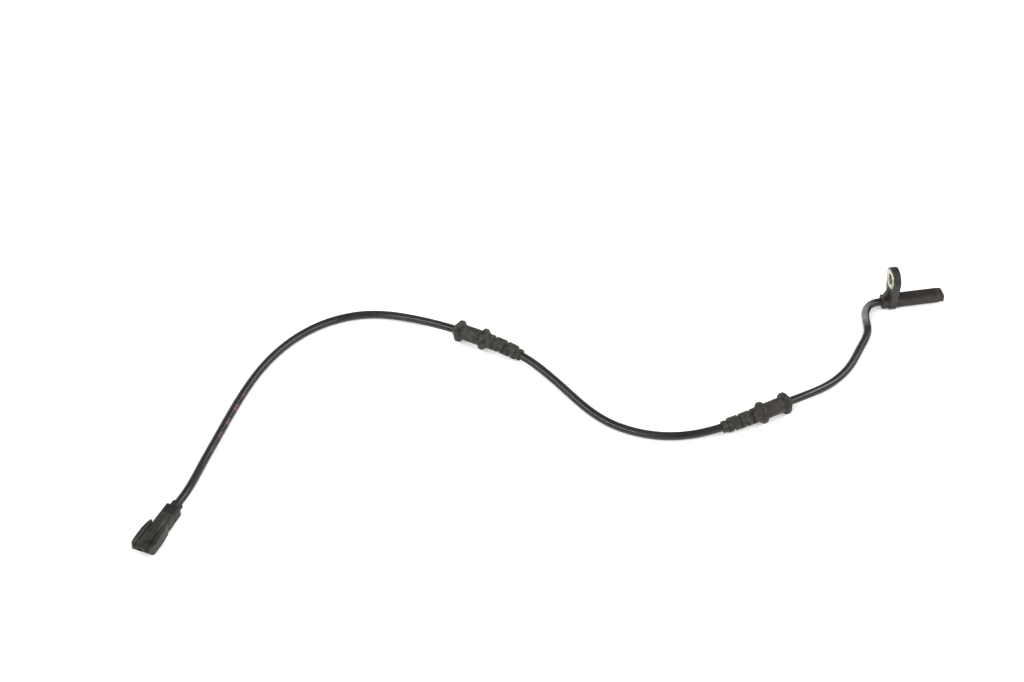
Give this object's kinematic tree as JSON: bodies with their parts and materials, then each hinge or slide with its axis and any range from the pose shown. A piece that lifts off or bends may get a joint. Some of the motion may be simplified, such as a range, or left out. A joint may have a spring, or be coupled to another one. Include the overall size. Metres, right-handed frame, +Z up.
{
  "type": "abs wheel speed sensor",
  "caption": "Wheel speed sensor: bar-shaped probe with a bolted ear, a round lead with clip-in rubber grommets and a sealed two-way plug.",
  "frame": {"origin": "under the middle of the head, at the height of the bench that the foot of its plate stands on", "axes": "+X along the probe from the cable's end to the sensing tip, +Z up through the ear, +Y across the head"},
  "size_m": [0.5156, 0.1866, 0.0301],
  "materials": {
    "head_plastic": "glass-filled nylon, satin",
    "bush_steel": "yellow passivated steel",
    "carrier_plastic": "moulded, matte",
    "element_resin": "moulded epoxy",
    "magnet_ferrite": "ground ferrite",
    "terminal_brass": "stamped strip",
    "core_insulation_red": "wire insulation",
    "core_insulation_blue": "wire insulation",
    "cable_jacket": "polyurethane jacket, satin",
    "grommet_rubber": "moulded rubber, matte",
    "plug_plastic": "glass-filled nylon, satin",
    "cover_plastic": "moulded over the cable, satin",
    "seal_silicone": "silicone, soft sheen"
  },
  "bodies": {
    "root": {"head_housing": "head_plastic", "ear_bush": "bush_steel", "element_carrier": "carrier_plastic", "sensing_element": "element_resin", "bias_magnet": "magnet_ferrite", "head_terminal_a": "terminal_brass", "head_terminal_b": "terminal_brass", "head_core_a": "core_insulation_red", "head_core_b": "core_insulation_blue", "cable": "cable_jacket", "grommet_near_head": "grommet_rubber", "grommet_near_plug": "grommet_rubber", "plug_rear_cover": "cover_plastic", "plug_housing": "plug_plastic", "plug_terminal_lock": "carrier_plastic", "plug_wire_seal": "seal_silicone", "plug_front_seal": "seal_silicone", "plug_terminal_a": "terminal_brass", "plug_terminal_b": "terminal_brass", "plug_core_a": "core_insulation_red", "plug_core_b": "core_insulation_blue"}
  },
  "joints": []
}
